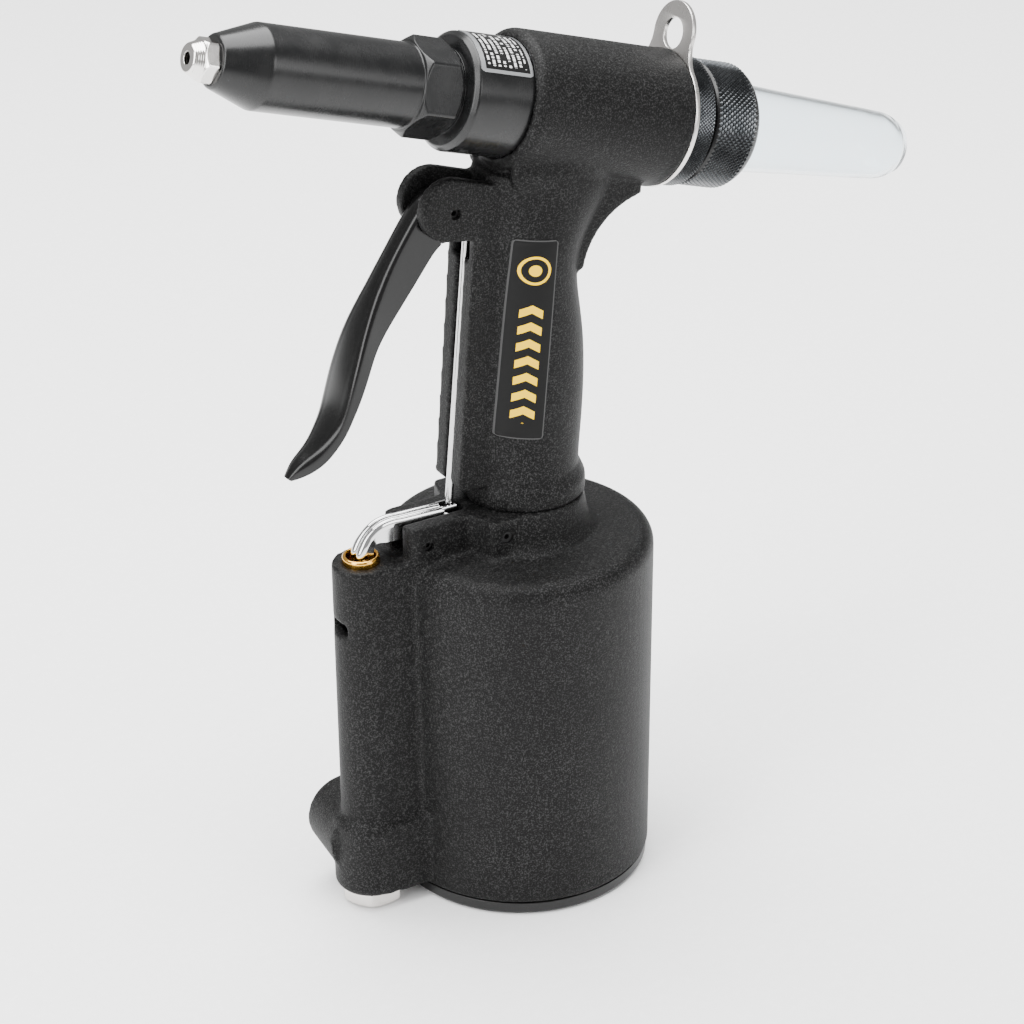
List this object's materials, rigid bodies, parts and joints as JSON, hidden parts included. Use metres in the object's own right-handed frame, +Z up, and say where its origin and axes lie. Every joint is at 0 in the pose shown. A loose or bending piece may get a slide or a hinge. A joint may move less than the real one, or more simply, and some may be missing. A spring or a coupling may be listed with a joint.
{
  "type": "pneumatic rivet gun",
  "caption": "Air-over-oil blind rivet gun with a tilted pulling head, lever trigger, slim grip and a round air cylinder as its foot.",
  "frame": {"origin": "middle of the flat underside of the air cylinder's cover", "axes": "+Z up the air cylinder's axis; the nose points towards -X and tilts 17 degrees up; the clear collector points towards +X; the air inlet faces +Y"},
  "size_m": [0.2355, 0.0816, 0.2832],
  "materials": {
    "cast": "black textured powder coat over cast aluminium",
    "blued": "satin black oxide on turned steel",
    "nickel": "bright nickel plate",
    "hanger": "satin nickel plate",
    "plate": "black printed foil with a silver border",
    "label": "black vinyl with a yellow pattern",
    "lever": "smooth semi-gloss black enamel",
    "clear": "clear moulded plastic",
    "zinc": "bright zinc plate",
    "chromed": "polished chrome plate",
    "pin": "black oxide spring steel",
    "brass": "turned brass",
    "cap": "satin black coat over turned aluminium",
    "alloy": "turned",
    "steel": "ground and oiled",
    "seal": "nitrile rubber"
  },
  "bodies": {
    "housing": {"nosepiece": "nickel", "nose_sleeve": "blued", "head_ring": "blued", "rating_plate": "plate", "rod_seal": "seal", "return_spring": "steel", "rear_cap": "blued", "gap_seal": "seal", "body_casting": "cast", "grip_label": "label", "trigger_pin": "pin", "rocker_pin": "pin", "base_casting": "cast", "base_cap": "cap", "cap_seal": "seal", "ram_gland": "steel", "gland_seal": "seal", "stop_sleeve": "steel", "valve_bushing": "brass", "valve_spring": "steel", "valve_plug": "nickel", "lock_screw": "pin", "inlet_screen": "steel"},
    "draw": {"head_piston": "steel", "piston_seal": "seal", "mandrel_tube": "steel", "jaw_case": "steel", "jaw_spring": "steel"},
    "pusher": {"jaw_pusher": "steel"},
    "top_jaw": {"jaw_top": "steel"},
    "near_jaw": {"jaw_near": "steel"},
    "far_jaw": {"jaw_far": "steel"},
    "hanger": {"hanger": "hanger"},
    "collector": {"collector_collar": "blued", "collector_tube": "clear"},
    "trigger": {"trigger": "lever", "link_pin": "zinc"},
    "rod": {"pull_rod": "zinc"},
    "rocker": {"rocker_lever": "chromed"},
    "motor": {"air_piston": "alloy", "piston_ring": "seal", "ram": "steel", "ram_nut": "steel"},
    "stem": {"valve_stem": "steel", "valve_orings": "seal"}
  },
  "joints": [
    {"name": "trigger_swing", "type": "hinge", "parent": "housing", "child": "trigger", "pos_m": [-0.0234, 0, 0.2205], "axis": [0, -1, 0], "range_deg": [0, 17], "stiffness_Nm_per_rad": 0.3},
    {"name": "rod_slide", "type": "slide", "parent": "housing", "child": "rod", "axis": [0.0903, 0, 0.9959], "range_m": [0, 0.0026]},
    {"name": "rocker_swing", "type": "hinge", "parent": "housing", "child": "rocker", "pos_m": [-0.0347, 0, 0.1195], "axis": [0, -1, 0], "range_deg": [0, 13.5]},
    {"name": "stem_slide", "type": "slide", "parent": "housing", "child": "stem", "axis": [0, 0, -1], "range_m": [0, 0.0042], "deforming": ["valve_spring"]},
    {"name": "motor_rise", "type": "slide", "parent": "housing", "child": "motor", "axis": [0, 0, 1], "range_m": [0, 0.048]},
    {"name": "head_draw", "type": "slide", "parent": "housing", "child": "draw", "axis": [0.9563, 0, -0.2924], "range_m": [0, 0.016], "deforming": ["return_spring"]},
    {"name": "pusher_slide", "type": "slide", "parent": "draw", "child": "pusher", "axis": [0.9563, 0, -0.2924], "range_m": [0, 0.0015], "deforming": ["jaw_spring"]},
    {"name": "top_jaw_slide", "type": "slide", "parent": "draw", "child": "top_jaw", "axis": [0.9992, 0, -0.04], "range_m": [0, 0.0015]},
    {"name": "near_jaw_slide", "type": "slide", "parent": "draw", "child": "near_jaw", "axis": [0.8879, -0.2199, -0.4042], "range_m": [0, 0.0015]},
    {"name": "far_jaw_slide", "type": "slide", "parent": "draw", "child": "far_jaw", "axis": [0.8879, 0.2199, -0.4042], "range_m": [0, 0.0015]},
    {"name": "hanger_swivel", "type": "hinge", "parent": "housing", "child": "hanger", "pos_m": [0.04762, 0, 0.23294], "axis": [0.9563, 0, -0.2924], "continuous": true},
    {"name": "collector_turn", "type": "hinge", "parent": "housing", "child": "collector", "pos_m": [0.06312, 0, 0.2282], "axis": [0.9563, 0, -0.2924], "continuous": true}
  ],
  "couplings": [
    {"joint": "rod_slide", "follows": "trigger_swing", "m_per_rad": 0.00834},
    {"joint": "rocker_swing", "follows": "trigger_swing", "ratio": 0.762},
    {"joint": "stem_slide", "follows": "trigger_swing", "m_per_rad": 0.0135},
    {"joint": "head_draw", "follows": "motor_rise", "ratio": 0.33333},
    {"joint": "top_jaw_slide", "follows": "pusher_slide", "ratio": 1},
    {"joint": "near_jaw_slide", "follows": "pusher_slide", "ratio": 1},
    {"joint": "far_jaw_slide", "follows": "pusher_slide", "ratio": 1}
  ]
}
